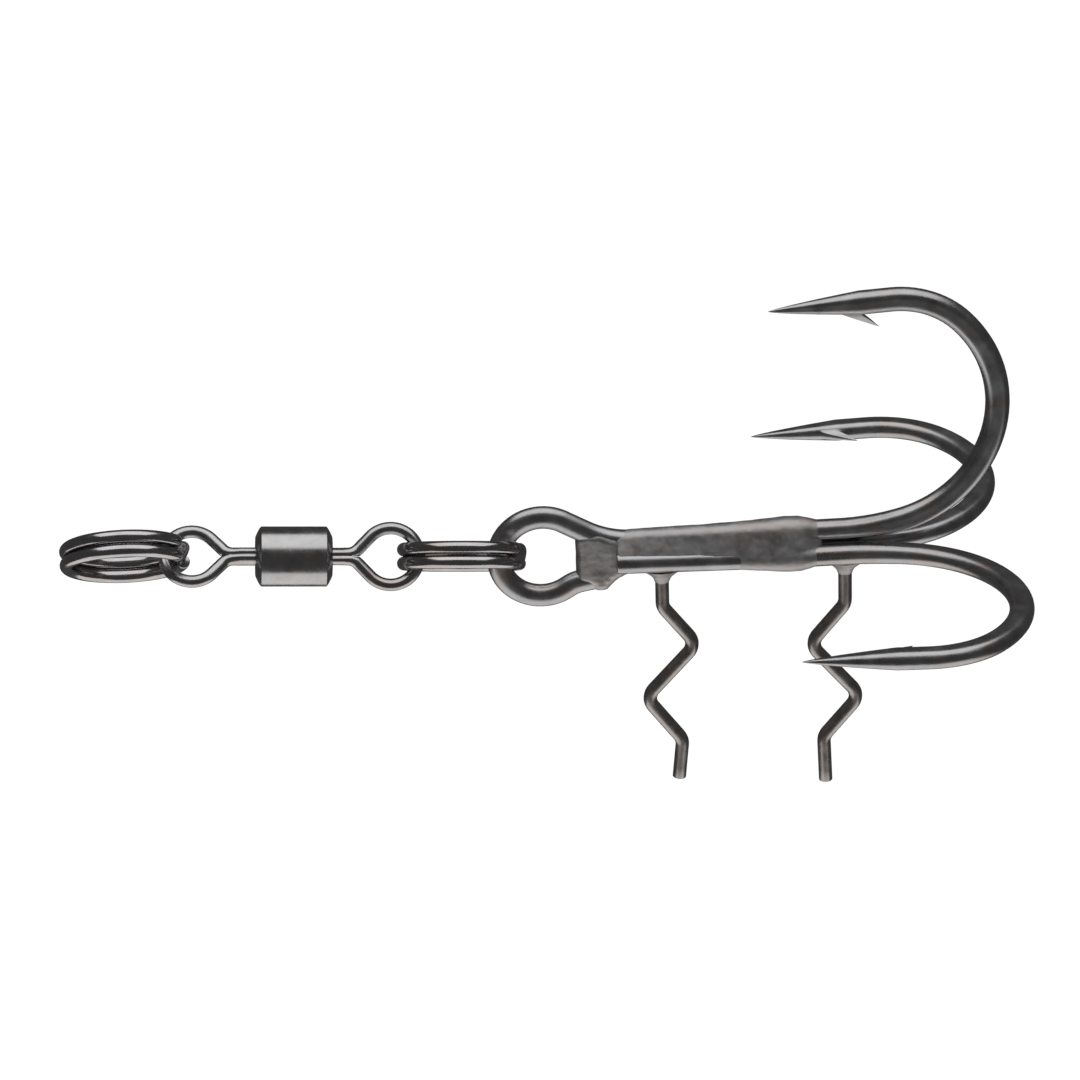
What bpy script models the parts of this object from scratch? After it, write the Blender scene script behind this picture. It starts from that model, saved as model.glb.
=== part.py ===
"""Stinger treble hook for soft baits: a split ring, a rolling swivel and a second
split ring carry a brazed treble with three barbed hooks and two zigzag bait pins.

The assembly hangs along Z. The origin is where the line ring bears on its line.
Hook pieces are drawn in the hook's own frame: "along" runs down the shank from
the hook eye, "up" points at the top hook and "side" at the left hook.
"""
import math

import bmesh
import bpy
from mathutils import Matrix, Vector

MM = 0.001

# split rings: two flat turns of wire
RING_OD = 10.80
RING_WIRE = 1.09
RING_TURN_H = 1.13
RING_TURN_GAP = 0.03
RING_JOG = 30.0
RING_SIDES = 10
RING_STEP = 15.0

# rolling swivel
EYE_WIRE_R = 0.525
FRONT_EYE_HOLE_R = 1.75
REAR_EYE_HOLE_R = 1.835
EYE_LEG_ANGLE = 46.0
EYE_LEG_BEND_R = 1.20
STEM_R = 0.73
STEM_SEAM = 0.015
HEAD_R = 1.75
HEAD_LEN = 1.80
BARREL_R = 2.50
BARREL_LEN = 6.40
BARREL_BORE_R = 1.88
BARREL_WALL_END = 0.80
BARREL_MOUTH_R = 0.81
BARREL_NOSE_LEN = 0.60
BARREL_NOSE_R = 1.60

# stations along the chain, measured down from the middle of the hook eye
LINE_POINT = -38.90
FRONT_RING_MID = -34.65
FRONT_EYE_MID = -29.10
BARREL_TOP = -23.85
REAR_EYE_MID = -12.60
REAR_RING_MID = -6.68

# how the pieces are turned about the chain, from the top hook's direction
REAR_EYE_TURN = 26.3
REAR_RING_TURN = 28.3
FRONT_EYE_TURN = 51.3
FRONT_RING_TURN = 39.3
FRONT_RING_LEAN = 2.5
HOOK_LEAN = 3.5

# hooks
WIRE_R = 0.925
FORGED_WIDTH = 1.02
FORGED_THICK = 0.86
TOP_WIRE_UP = 1.30
SIDE_WIRE_UP = -0.58
SIDE_WIRE_OUT = 1.00
SIDE_WIRE_START = 6.05
SIDE_PLANE_TILT = 2.1
SPLAY_STATIONS = (12.6, 19.2)
SPLAY_END = 20.0
SPLAY_UP = 0.028
SPLAY_OUT = 0.014
LEFT_BEND_START = 25.50
RIGHT_BEND_START = 25.75
TOP_BEND_START = 25.20
BENDS = ((20.0, 13.0), (10.7, 121.0), (7.6, 49.0))
POINT_STRAIGHT = 10.15
POINT_TAPER = 7.6
BARB_ROOT = 7.2
BARB_LEN = 2.1
BARB_RISE = 1.05
BARB_THICK = 0.62
HOOK_SIDES = 12

# ringed hook eye
HOOK_EYE_AT = (-0.10, 0.27)
HOOK_EYE_R = 3.62
HOOK_EYE_WIDTH = 0.975
HOOK_EYE_THICK = 0.82
EYE_TOP_LEAVE = 30.0
EYE_TOP_RETURN_R = 8.0
EYE_END_LEAVE = 35.0
EYE_END_RETURN_R = 3.0
EYE_END_HEADING = 10.0
EYE_END_STRAIGHT = 1.60

# braze
BRAZE_GAP = 0.03
BRAZE_START = 6.08
BRAZE_END = 23.2
BRAZE_SKIN = 0.12
BRAZE_SKIN_REAR = 0.50
EYE_BRAZE_THICK = 0.80

# bait pins
PIN_R = 0.58
PIN_BEND_R = 1.30
PIN_SIDES = 8
FRONT_PIN_TOP = -1.42
REAR_PIN_TOP = -1.54
FRONT_PIN_AT = 9.90
REAR_PIN_AT = 25.30
# each kink: how far down the pin it lies, and how far off the pin's line
PIN_KINKS = ((5.05, 0.0), (8.75, 2.81), (13.6, -1.56), (17.8, 1.50), (21.4, 1.15))
REAR_PIN_KINKS = ((5.70, 0.0), (9.35, -3.01), (14.5, 1.26), (18.25, -1.85), (22.5, -1.70))
FILLET_R = 1.10
FILLET_LEN = 1.10


def material(name, hexcode, roughness, metallic=1.0):
    """A Principled material from an sRGB hex colour."""
    mat = bpy.data.materials.new(name)
    mat.use_nodes = True
    shader = mat.node_tree.nodes["Principled BSDF"]
    rgb = [int(hexcode[i:i + 2], 16) / 255 for i in (0, 2, 4)]
    linear = [c / 12.92 if c <= 0.04045 else ((c + 0.055) / 1.055) ** 2.4 for c in rgb]
    shader.inputs["Base Color"].default_value = (*linear, 1.0)
    shader.inputs["Roughness"].default_value = roughness
    shader.inputs["Metallic"].default_value = metallic
    mat.diffuse_color = (*linear, 1.0)
    return mat


def draw(name, bm, mat):
    """Turn a bmesh drawn in millimetres into an object at the origin."""
    bmesh.ops.recalc_face_normals(bm, faces=bm.faces)
    mesh = bpy.data.meshes.new(name)
    bm.to_mesh(mesh)
    bm.free()
    mesh.materials.append(mat)
    obj = bpy.data.objects.new(name, mesh)
    bpy.context.scene.collection.objects.link(obj)
    return obj


def place(obj, frame):
    """Bring a drawn object to metres, shade it and put it in its frame."""
    mesh = obj.data
    mesh.transform(Matrix.Scale(MM, 4))
    mesh.shade_smooth()
    mesh.set_sharp_from_angle(angle=math.radians(35))
    obj.matrix_world = frame
    return obj


def boolean(obj, cutter, operation, solver='EXACT'):
    """Apply one boolean and remove the tool object."""
    mod = obj.modifiers.new(operation.title(), 'BOOLEAN')
    mod.operation = operation
    mod.solver = solver
    mod.object = cutter
    bpy.context.view_layer.update()
    graph = bpy.context.evaluated_depsgraph_get()
    mesh = bpy.data.meshes.new_from_object(obj.evaluated_get(graph))
    obj.modifiers.clear()
    obj.data = mesh
    bpy.data.objects.remove(cutter)


def ellipse(half_out, half_side, sides):
    """Section points of an oval wire, as (outward, side) offsets."""
    points = []
    for k in range(sides):
        t = 2 * math.pi * (k + 0.5) / sides
        points.append((half_out * math.cos(t), half_side * math.sin(t)))
    return points


def sweep(path, side, sections):
    """Carry one section per path point along the path, with flat ends."""
    bm = bmesh.new()
    side = Vector(side).normalized()
    rings = []
    last = len(path) - 1
    for i, (point, section) in enumerate(zip(path, sections)):
        before = Vector(path[max(i - 1, 0)])
        after = Vector(path[min(i + 1, last)])
        out = (after - before).cross(side).normalized()
        centre = Vector(point)
        ring = [bm.verts.new(centre + out * a + side * b) for a, b in section]
        rings.append(ring)
    count = len(sections[0])
    for lower, upper in zip(rings, rings[1:]):
        for k in range(count):
            n = (k + 1) % count
            bm.faces.new((lower[k], lower[n], upper[n], upper[k]))
    bm.faces.new(reversed(rings[0]))
    bm.faces.new(rings[-1])
    return bm


def turned(profile, steps):
    """Turn a closed (radius, height) outline that stays clear of the axis."""
    bm = bmesh.new()
    verts = [bm.verts.new((r, 0, h)) for r, h in profile]
    edges = []
    for k, vert in enumerate(verts):
        edges.append(bm.edges.new((vert, verts[(k + 1) % len(verts)])))
    bmesh.ops.spin(bm, geom=verts + edges, cent=(0, 0, 0), axis=(0, 0, 1),
                   angle=2 * math.pi, steps=steps, use_merge=True)
    bmesh.ops.remove_doubles(bm, verts=bm.verts, dist=1e-5)
    return bm


def disc(radius, low, high, steps, chamfer):
    """A chamfered cylinder along Z."""
    bm = bmesh.new()
    levels = ((radius - chamfer, low), (radius, low + chamfer),
              (radius, high - chamfer), (radius - chamfer, high))
    rings = []
    for r, h in levels:
        ring = []
        for k in range(steps):
            t = 2 * math.pi * k / steps
            ring.append(bm.verts.new((r * math.cos(t), r * math.sin(t), h)))
        rings.append(ring)
    for lower, upper in zip(rings, rings[1:]):
        for k in range(steps):
            n = (k + 1) % steps
            bm.faces.new((lower[k], lower[n], upper[n], upper[k]))
    bm.faces.new(reversed(rings[0]))
    bm.faces.new(rings[-1])
    return bm


class Pen:
    """Draws a flat path from a start point and a heading, in straights and bends."""

    def __init__(self, x, y, heading):
        self.x = x
        self.y = y
        self.heading = math.radians(heading)
        self.points = [(x, y)]

    def straight(self, length, steps=1):
        for _ in range(steps):
            self.x += length / steps * math.cos(self.heading)
            self.y += length / steps * math.sin(self.heading)
            self.points.append((self.x, self.y))

    def bend(self, radius, degrees, step=11.0):
        steps = max(1, round(abs(degrees) / step))
        turn = math.radians(degrees) / steps
        chord = 2 * radius * math.sin(abs(turn) / 2)
        for _ in range(steps):
            self.heading += turn / 2
            self.x += chord * math.cos(self.heading)
            self.y += chord * math.sin(self.heading)
            self.heading += turn / 2
            self.points.append((self.x, self.y))


def chain_frame(station, turn):
    """On the chain: local Z points down the chain, local X is turned about it."""
    middle = Matrix.Translation((0, 0, (LINE_POINT - station) * MM))
    flip = Matrix.Rotation(math.pi, 4, 'X')
    return middle @ Matrix.Rotation(math.radians(turn), 4, 'Z') @ flip


def hook_frame():
    """The hook's own frame: X along the shank, Y up, Z to the side."""
    middle = Matrix.Translation((0, 0, LINE_POINT * MM))
    lean = Matrix.Rotation(math.radians(-HOOK_LEAN), 4, 'Y')
    axes = Matrix(((0, 1, 0, 0), (0, 0, -1, 0), (-1, 0, 0, 0), (0, 0, 0, 1)))
    eye = Matrix.Translation((-HOOK_EYE_AT[0] * MM, -HOOK_EYE_AT[1] * MM, 0))
    return middle @ lean @ axes @ eye


def split_ring(name, mat, frame):
    """Two flat turns joined by a short jog; the cut ends stop either side of it."""
    mid = (RING_OD - RING_WIRE) / 2
    rise = (RING_TURN_H + RING_TURN_GAP) / 2
    half_jog = RING_JOG / 2
    angle = half_jog
    path = []
    while angle < 720 - half_jog + 0.01:
        offset = min(max((angle - 360) / half_jog, -1.0), 1.0)
        level = rise * math.sin(offset * math.pi / 2)
        t = math.radians(angle)
        path.append((mid * math.sin(t), level, mid * math.cos(t)))
        near_jog = abs(angle - 360) < RING_JOG
        angle += RING_JOG / 6 if near_jog else RING_STEP
    section = ellipse(RING_WIRE / 2, RING_TURN_H / 2, RING_SIDES)
    bm = sweep(path, (0, 1, 0), [section] * len(path))
    return place(draw(name, bm, mat), frame)


def leg_section(blend, sides):
    """Round loop wire that turns into one half of the pressed round stem."""
    shift = STEM_R / 2
    points = []
    for out, side in ellipse(1, 1, sides):
        t = math.atan2(side, out)
        if abs(t) < math.radians(115):
            half = (STEM_R * math.cos(t * 0.76) - shift, STEM_R * math.sin(t * 0.76))
        else:
            half = (STEM_SEAM - shift, STEM_R * 0.98 * (math.pi - abs(t)) / math.radians(65) * math.copysign(1, t))
        round_wire = (EYE_WIRE_R * out, EYE_WIRE_R * side)
        points.append(tuple(a * (1 - blend) + b * blend for a, b in zip(round_wire, half)))
    return points


def swivel_eye(name, mat, frame, hole_r, stem_end):
    """One bent wire: a loop, two half-round legs and the upset head inside the barrel."""
    mid = hole_r + EYE_WIRE_R
    turn = math.radians(EYE_LEG_ANGLE)
    loop = 90 + EYE_LEG_ANGLE
    leave_x = mid * math.sin(math.radians(loop))
    fall = leave_x - STEM_R / 2 - EYE_LEG_BEND_R * (1 - math.cos(turn))
    pen = Pen(-mid, 0, 90)
    pen.bend(mid, -loop, 15.0)
    on_loop = len(pen.points)
    pen.straight(fall / math.sin(turn), 2)
    on_leg = len(pen.points)
    pen.bend(EYE_LEG_BEND_R, EYE_LEG_ANGLE, 12.0)
    pen.straight(stem_end - pen.x)
    half = [(y, 0, x) for x, y in pen.points]
    blends = [0.0] * on_loop
    for k in range(on_loop, len(half)):
        blends.append(min(1.0, max(0.0, (k - on_leg + 1) / 4)))
    other = [(-x, y, z) for x, y, z in reversed(half[1:])]
    path = other + half
    sections = [leg_section(b, 10) for b in list(reversed(blends[1:])) + blends]
    obj = draw(name, sweep(path, (0, -1, 0), sections), mat)
    low = stem_end - 0.15
    boolean(obj, draw("head_tool", disc(HEAD_R, low, low + HEAD_LEN, 24, 0.25), mat), 'UNION')
    return place(obj, frame)


def swivel_barrel(name, mat, frame):
    """Hollow barrel with its ends swaged in round the two stems."""
    length = BARREL_LEN
    profile = [(BARREL_MOUTH_R, 0.0), (BARREL_NOSE_R, 0.0)]
    for k in range(1, 5):
        t = math.radians(90 * k / 5)
        profile.append((BARREL_NOSE_R + (BARREL_R - BARREL_NOSE_R) * math.sin(t),
                        BARREL_NOSE_LEN * (1 - math.cos(t))))
    profile.append((BARREL_R, BARREL_NOSE_LEN))
    profile += [(r, length - h) for r, h in reversed(profile)]
    profile += [(BARREL_MOUTH_R, length - BARREL_WALL_END), (BARREL_BORE_R, length - BARREL_WALL_END),
                (BARREL_BORE_R, BARREL_WALL_END), (BARREL_MOUTH_R, BARREL_WALL_END)]
    return place(draw(name, turned(profile, 32), mat), frame)


def point_path(pen, start):
    """Shank, bend and point of one hook, from wherever the pen is to the tip."""
    for station in SPLAY_STATIONS + (start,):
        pen.straight(station - pen.x)
    shank = len(pen.points)
    for radius, degrees in BENDS:
        pen.bend(radius, degrees)
    pen.straight(POINT_STRAIGHT - POINT_TAPER)
    taper = len(pen.points)
    pen.straight(POINT_TAPER, 6)
    return shank, taper


def hook_sections(count, shank, taper):
    """Round in the shank, forged flatter in the bend, then down to the point."""
    sections = []
    for k in range(count):
        forge = min(1.0, max(0.0, (k - shank + 1) / 4))
        width = WIRE_R + (FORGED_WIDTH - WIRE_R) * forge
        thick = WIRE_R + (FORGED_THICK - WIRE_R) * forge
        if k >= taper:
            left = (count - 1 - k) / (count - taper)
            width *= max(0.04, left ** 0.75)
            thick *= max(0.04, left ** 0.75)
        sections.append(ellipse(width, thick, HOOK_SIDES))
    return sections


def add_barb(obj, mat, pen, to_plane):
    """Sliver raised from the inner side of the point, aimed back at the bend."""
    tip = Vector((*pen.points[-1], 0))
    back = Vector((-math.cos(pen.heading), -math.sin(pen.heading), 0))
    inward = Vector((-math.sin(pen.heading), math.cos(pen.heading), 0))
    edge = WIRE_R * 0.9
    outline = ((BARB_ROOT - 2.2, edge * 0.3), (BARB_ROOT - 1.2, edge * 0.80),
               (BARB_ROOT + BARB_LEN, edge + BARB_RISE), (BARB_ROOT + 0.55, edge * 0.9),
               (BARB_ROOT + 0.5, edge * 0.3))
    bm = bmesh.new()
    sheets = []
    for side in (-0.5, 0.5):
        sheet = []
        for k, (run, rise) in enumerate(outline):
            half = BARB_THICK * side * (0.25 if k == 2 else 1.0)
            at = tip + back * run + inward * rise + Vector((0, 0, half))
            sheet.append(bm.verts.new(to_plane @ at))
        sheets.append(sheet)
    count = len(outline)
    for k in range(count):
        n = (k + 1) % count
        bm.faces.new((sheets[0][k], sheets[0][n], sheets[1][n], sheets[1][k]))
    bm.faces.new(reversed(sheets[0]))
    bm.faces.new(sheets[1])
    bmesh.ops.triangulate(bm, faces=bm.faces[:])
    # EXACT returns nothing for this thin sliver on the straight wires
    boolean(obj, draw("barb_tool", bm, mat), 'UNION', 'MANIFOLD')


def top_hook_pen():
    """The top hook's wire, from its cut end round the eye and down the shank."""
    ex, ey = HOOK_EYE_AT
    leave = math.radians(EYE_END_LEAVE)
    end_turn = EYE_END_LEAVE - EYE_END_HEADING
    # the eye is drawn from the point where the wire leaves it towards the cut end
    pen = Pen(ex + HOOK_EYE_R * math.sin(leave), ey - HOOK_EYE_R * math.cos(leave), EYE_END_LEAVE)
    pen.bend(EYE_END_RETURN_R, -end_turn)
    pen.straight(EYE_END_STRAIGHT, 2)
    tail = list(reversed(pen.points))
    pen = Pen(*tail[-1], EYE_END_LEAVE - 180)
    pen.points = tail
    pen.bend(HOOK_EYE_R, -(180 + EYE_END_LEAVE + EYE_TOP_LEAVE), 14.0)
    loop = len(pen.points)
    turn = math.radians(EYE_TOP_LEAVE)
    fall = pen.y - TOP_WIRE_UP - EYE_TOP_RETURN_R * (1 - math.cos(turn))
    pen.straight(fall / math.sin(turn), 2)
    pen.bend(EYE_TOP_RETURN_R, EYE_TOP_LEAVE, 10.0)
    return pen, loop


def top_hook(name, mat, frame):
    pen, loop = top_hook_pen()
    onto_shank = len(pen.points)
    shank, taper = point_path(pen, TOP_BEND_START)
    sections = hook_sections(len(pen.points), shank, taper)
    for k in range(onto_shank):
        fade = min(1.0, max(0.0, (onto_shank - 1 - k) / (onto_shank - loop + 1)))
        width = WIRE_R + (HOOK_EYE_WIDTH - WIRE_R) * fade
        thick = WIRE_R + (HOOK_EYE_THICK - WIRE_R) * fade
        sections[k] = ellipse(width, thick, HOOK_SIDES)
    path = [(x, y, 0) for x, y in pen.points]
    obj = draw(name, sweep(path, (0, 0, 1), sections), mat)
    add_barb(obj, mat, pen, Matrix.Identity(4))
    return place(obj, frame)


def side_plane(side):
    """The plane a side hook is bent in, tilted up from square to the top hook's."""
    up = math.sin(math.radians(SIDE_PLANE_TILT))
    out = side * math.cos(math.radians(SIDE_PLANE_TILT))
    return Matrix(((1, 0, 0, 0), (0, up, -out, SIDE_WIRE_UP), (0, out, up, 0), (0, 0, 0, 1)))


def splay(at, side):
    """How far a side wire lifts and spreads towards the eye."""
    ahead = max(0.0, SPLAY_END - at)
    return Vector((0, ahead * SPLAY_UP, side * ahead * SPLAY_OUT))


def side_hook(name, mat, frame, side, bend_start):
    """A single hook beside the top hook."""
    pen = Pen(SIDE_WIRE_START, SIDE_WIRE_OUT, 0)
    shank, taper = point_path(pen, bend_start)
    plane = side_plane(side)
    path = [plane @ Vector((x, y, 0)) for x, y in pen.points]
    for k in range(shank):
        path[k] += splay(path[k].x, side)
    normal = plane.to_3x3() @ Vector((0, 0, 1))
    sections = hook_sections(len(pen.points), shank, taper)
    obj = draw(name, sweep(path, normal, sections), mat)
    add_barb(obj, mat, pen, plane)
    return place(obj, frame)


def side_wire_tool(side):
    """A rod that clears a side hook's wire out of the braze."""
    radius = WIRE_R + BRAZE_GAP
    plane = side_plane(side)
    path = []
    for at in (BRAZE_START - 1, *SPLAY_STATIONS, BRAZE_END + 1):
        path.append(plane @ Vector((at, SIDE_WIRE_OUT, 0)) + splay(at, side))
    return sweep(path, (0, 0, 1), [ellipse(radius, radius, HOOK_SIDES)] * len(path))


def top_wire_tool(width, thick):
    """The top hook's wire from its cut end to the bend, a little enlarged."""
    pen, loop = top_hook_pen()
    pen.straight(BRAZE_END + 1 - pen.x)
    path = [Vector((x, y, 0)) for x, y in pen.points]
    path[0] += (path[0] - path[1]).normalized() * BRAZE_GAP
    section = ellipse(width + BRAZE_GAP, thick + BRAZE_GAP, HOOK_SIDES)
    return sweep(path, (0, 0, 1), [section] * len(path))


def shank_braze(name, mat, frame):
    """Filler that wraps the three wires, swelling towards the bends."""
    stations = ((BRAZE_START, 0.0), (6.6, 0.7), (8.0, 1.0), (13.5, 1.0), (16.0, 1.5),
                (18.5, 3.0), (21.5, 3.8), (22.6, 3.4), (BRAZE_END, 2.2))
    path = [(at, 0, 0) for at, _ in stations]
    sections = []
    for at, swell in stations:
        centres = [(TOP_WIRE_UP, 0)]
        for side in (1, -1):
            wire = side_plane(side) @ Vector((at, SIDE_WIRE_OUT, 0)) + splay(at, side)
            centres.append((wire.y, wire.z))
        skin = BRAZE_SKIN * swell if swell <= 1 else BRAZE_SKIN + (BRAZE_SKIN_REAR - BRAZE_SKIN) * (swell - 1) / 2.8
        radius = WIRE_R + max(skin, 0.05)
        section = []
        for k in range(24):
            t = 2 * math.pi * (k + 0.5) / 24
            nearest = max(centres, key=lambda c: c[0] * math.cos(t) + c[1] * math.sin(t))
            section.append((-nearest[0] - radius * math.cos(t), nearest[1] + radius * math.sin(t)))
        sections.append(section)
    obj = draw(name, sweep(path, (0, 0, 1), sections), mat)
    boolean(obj, draw("wire_tool", side_wire_tool(1), mat), 'DIFFERENCE')
    boolean(obj, draw("wire_tool", side_wire_tool(-1), mat), 'DIFFERENCE')
    boolean(obj, draw("wire_tool", top_wire_tool(WIRE_R + 0.02, WIRE_R), mat), 'DIFFERENCE')
    return place(obj, frame)


def eye_braze(name, mat, frame):
    """Filler that closes the hook eye between the wire's cut end and the shank."""
    outline = ((2.55, -2.1), (4.3, -1.95), (4.95, -2.55), (5.55, -1.75), (6.03, -1.35),
               (6.03, 1.35), (4.3, 1.9), (2.55, 2.75), (2.72, 1.4), (2.85, 0.1), (2.70, -1.2))
    bm = bmesh.new()
    sheets = [[bm.verts.new((x, y, s * EYE_BRAZE_THICK)) for x, y in outline] for s in (-1, 1)]
    count = len(outline)
    for k in range(count):
        n = (k + 1) % count
        bm.faces.new((sheets[0][k], sheets[0][n], sheets[1][n], sheets[1][k]))
    bm.faces.new(reversed(sheets[0]))
    bm.faces.new(sheets[1])
    obj = draw(name, bm, mat)
    tool = top_wire_tool(HOOK_EYE_WIDTH, WIRE_R + 0.1)
    boolean(obj, draw("eye_tool", tool, mat), 'DIFFERENCE')
    return place(obj, frame)


def bait_pin(name, mat, frame, at, top, kinks):
    """Zigzag wire pin: a flat-cut wire with tight bends."""
    corners = [(at, top)] + [(at + off, -down) for down, off in kinks]
    points = [corners[0]]
    for before, corner, after in zip(corners, corners[1:], corners[2:]):
        corner = Vector(corner)
        into = (Vector(before) - corner).normalized()
        away = (Vector(after) - corner).normalized()
        half = into.angle(away) / 2
        trim = PIN_BEND_R / math.tan(half)
        middle = corner + (into + away).normalized() * (PIN_BEND_R / math.sin(half))
        start = corner + into * trim - middle
        sweep_angle = (corner + into * trim - middle).angle_signed(corner + away * trim - middle)
        for k in range(5):
            spin = Matrix.Rotation(-sweep_angle * k / 4, 2)
            points.append(tuple(middle + spin @ start))
    points.append(corners[-1])
    path = [(x, y, 0) for x, y in points]
    section = ellipse(PIN_R, PIN_R, PIN_SIDES)
    return place(draw(name, sweep(path, (0, 0, 1), [section] * len(path)), mat), frame)


def pin_braze(name, mat, frame, at, up):
    """Fillet of filler round the top of a bait pin."""
    bore = PIN_R + BRAZE_GAP
    top = -up - 0.02
    profile = ((bore, top), (PIN_R + FILLET_R, top), (PIN_R + FILLET_R * 0.55, top + FILLET_LEN * 0.25),
               (PIN_R + FILLET_R * 0.28, top + FILLET_LEN * 0.55), (bore + 0.08, top + FILLET_LEN),
               (bore, top + FILLET_LEN))
    turn = Matrix.Rotation(math.radians(90), 4, 'X')
    shift = Matrix.Translation((at * MM, 0, 0))
    return place(draw(name, turned(profile, 16), mat), frame @ shift @ turn)


def ring_frame(station, turn, lean, jog):
    """A ring's frame: leaned in the picture plane, with its jog turned round it."""
    tilt = Matrix.Rotation(math.radians(lean), 4, 'Y')
    return chain_frame(station, turn) @ tilt @ Matrix.Rotation(math.radians(90), 4, 'Z') @ \
        Matrix.Rotation(math.radians(jog), 4, 'Y')


def build():
    for obj in list(bpy.data.objects):
        bpy.data.objects.remove(obj, do_unlink=True)
    ring_black = material("split_ring_nickel", "3B3A3C", 0.22)
    swivel_black = material("swivel_nickel", "4A4748", 0.25)
    hook_black = material("hook_nickel", "454445", 0.38)
    braze_grey = material("braze_nickel", "5A5958", 0.48)
    pin_black = material("pin_nickel", "54504D", 0.36)

    split_ring("front_split_ring", ring_black, ring_frame(FRONT_RING_MID, FRONT_RING_TURN, FRONT_RING_LEAN, 12))
    front_stem = BARREL_TOP + BARREL_WALL_END + 0.20 - FRONT_EYE_MID
    swivel_eye("front_swivel_eye", swivel_black, chain_frame(FRONT_EYE_MID, FRONT_EYE_TURN),
               FRONT_EYE_HOLE_R, front_stem)
    swivel_barrel("swivel_barrel", swivel_black, chain_frame(BARREL_TOP, REAR_EYE_TURN))
    rear_frame = chain_frame(REAR_EYE_MID, REAR_EYE_TURN) @ Matrix.Rotation(math.pi, 4, 'X')
    rear_stem = REAR_EYE_MID - (BARREL_TOP + BARREL_LEN - BARREL_WALL_END - 0.20)
    swivel_eye("rear_swivel_eye", swivel_black, rear_frame, REAR_EYE_HOLE_R, rear_stem)
    split_ring("rear_split_ring", ring_black, ring_frame(REAR_RING_MID, REAR_RING_TURN, 0, 12))

    frame = hook_frame()
    top_hook("top_hook", hook_black, frame)
    side_hook("left_hook", hook_black, frame, 1, LEFT_BEND_START)
    side_hook("right_hook", hook_black, frame, -1, RIGHT_BEND_START)
    shank_braze("shank_braze", braze_grey, frame)
    eye_braze("eye_braze", braze_grey, frame)
    bait_pin("front_bait_pin", pin_black, frame, FRONT_PIN_AT, FRONT_PIN_TOP, PIN_KINKS)
    bait_pin("rear_bait_pin", pin_black, frame, REAR_PIN_AT, REAR_PIN_TOP, REAR_PIN_KINKS)
    pin_braze("front_pin_braze", braze_grey, frame, FRONT_PIN_AT, FRONT_PIN_TOP)
    pin_braze("rear_pin_braze", braze_grey, frame, REAR_PIN_AT, REAR_PIN_TOP)


build()
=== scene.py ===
"""Stinger treble hook for soft baits, in black nickel.

A split ring, a rolling swivel and a second split ring carry a brazed treble with
three forged, barbed hooks and two zigzag bait pins. The pieces are modelled round
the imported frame. Hook pieces are drawn in the hook's own frame: X runs down the
shank from the hook eye, Y points at the top hook and Z at the left hook.
"""
import math

import bmesh
import bpy
from bpy.props import FloatProperty, FloatVectorProperty, PointerProperty
from mathutils import Matrix, Vector


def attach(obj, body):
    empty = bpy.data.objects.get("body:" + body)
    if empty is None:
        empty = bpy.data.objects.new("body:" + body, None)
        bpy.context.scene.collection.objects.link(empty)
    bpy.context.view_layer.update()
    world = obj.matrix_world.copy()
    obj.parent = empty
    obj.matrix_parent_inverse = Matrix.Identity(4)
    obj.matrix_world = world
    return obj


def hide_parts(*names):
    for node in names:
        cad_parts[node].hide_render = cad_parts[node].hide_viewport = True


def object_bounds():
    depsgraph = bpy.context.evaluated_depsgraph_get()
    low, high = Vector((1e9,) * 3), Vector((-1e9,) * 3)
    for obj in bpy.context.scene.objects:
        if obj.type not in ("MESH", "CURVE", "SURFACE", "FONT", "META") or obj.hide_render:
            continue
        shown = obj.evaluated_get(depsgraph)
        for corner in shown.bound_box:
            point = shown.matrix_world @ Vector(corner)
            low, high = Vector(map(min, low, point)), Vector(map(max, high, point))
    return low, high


bl_info = {
    "name": "Stinger Treble Hook",
    "version": (1, 0, 0),
    "blender": (4, 5, 0),
    "location": "View3D > Sidebar > Treble",
    "description": "Adds the pieces, finishes and stage of a stinger treble hook",
    "category": "Add Mesh",
}

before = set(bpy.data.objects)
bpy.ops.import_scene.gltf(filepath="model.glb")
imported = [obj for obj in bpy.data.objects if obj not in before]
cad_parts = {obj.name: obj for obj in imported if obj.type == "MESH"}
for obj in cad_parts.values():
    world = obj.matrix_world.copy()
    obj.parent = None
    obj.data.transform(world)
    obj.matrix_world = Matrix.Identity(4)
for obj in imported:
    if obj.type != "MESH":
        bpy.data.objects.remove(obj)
cad_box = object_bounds()

MM = 0.001

# bends of a hook from the shank to the point: radius in millimetres, turn in degrees
HOOK_BENDS = ((20.0, 13.0), (10.7, 121.0), (7.6, 49.0))

# kinks of the bait pins in millimetres: how far down, and how far off the pin's line
FRONT_PIN_KINKS = ((5.05, 0.0), (8.75, 2.81), (13.6, -1.56), (17.8, 1.50), (21.4, 1.15))
REAR_PIN_KINKS = ((5.70, 0.0), (9.35, -3.01), (14.5, 1.26), (18.25, -1.85), (22.5, -1.70))

# the filler in millimetres: station down the shank, how thick it lies over the top wire
# and over the side wires, and how full the valleys between the wires are there
BRAZE_SKIN = ((6.1, 0.02, -0.10, 1.00), (7.0, 0.05, -0.10, 1.00), (8.5, 0.08, -0.10, 1.00),
              (11.0, 0.10, -0.09, 1.00), (13.5, 0.12, -0.08, 1.00), (16.0, 0.18, -0.02, 1.00),
              (18.5, 0.31, 0.17, 1.00), (20.3, 0.43, 0.33, 1.00), (21.4, 0.40, 0.30, 0.98),
              (22.1, 0.24, 0.16, 0.93), (22.7, 0.07, 0.00, 0.82), (23.3, -0.10, -0.14, 0.62))

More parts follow.
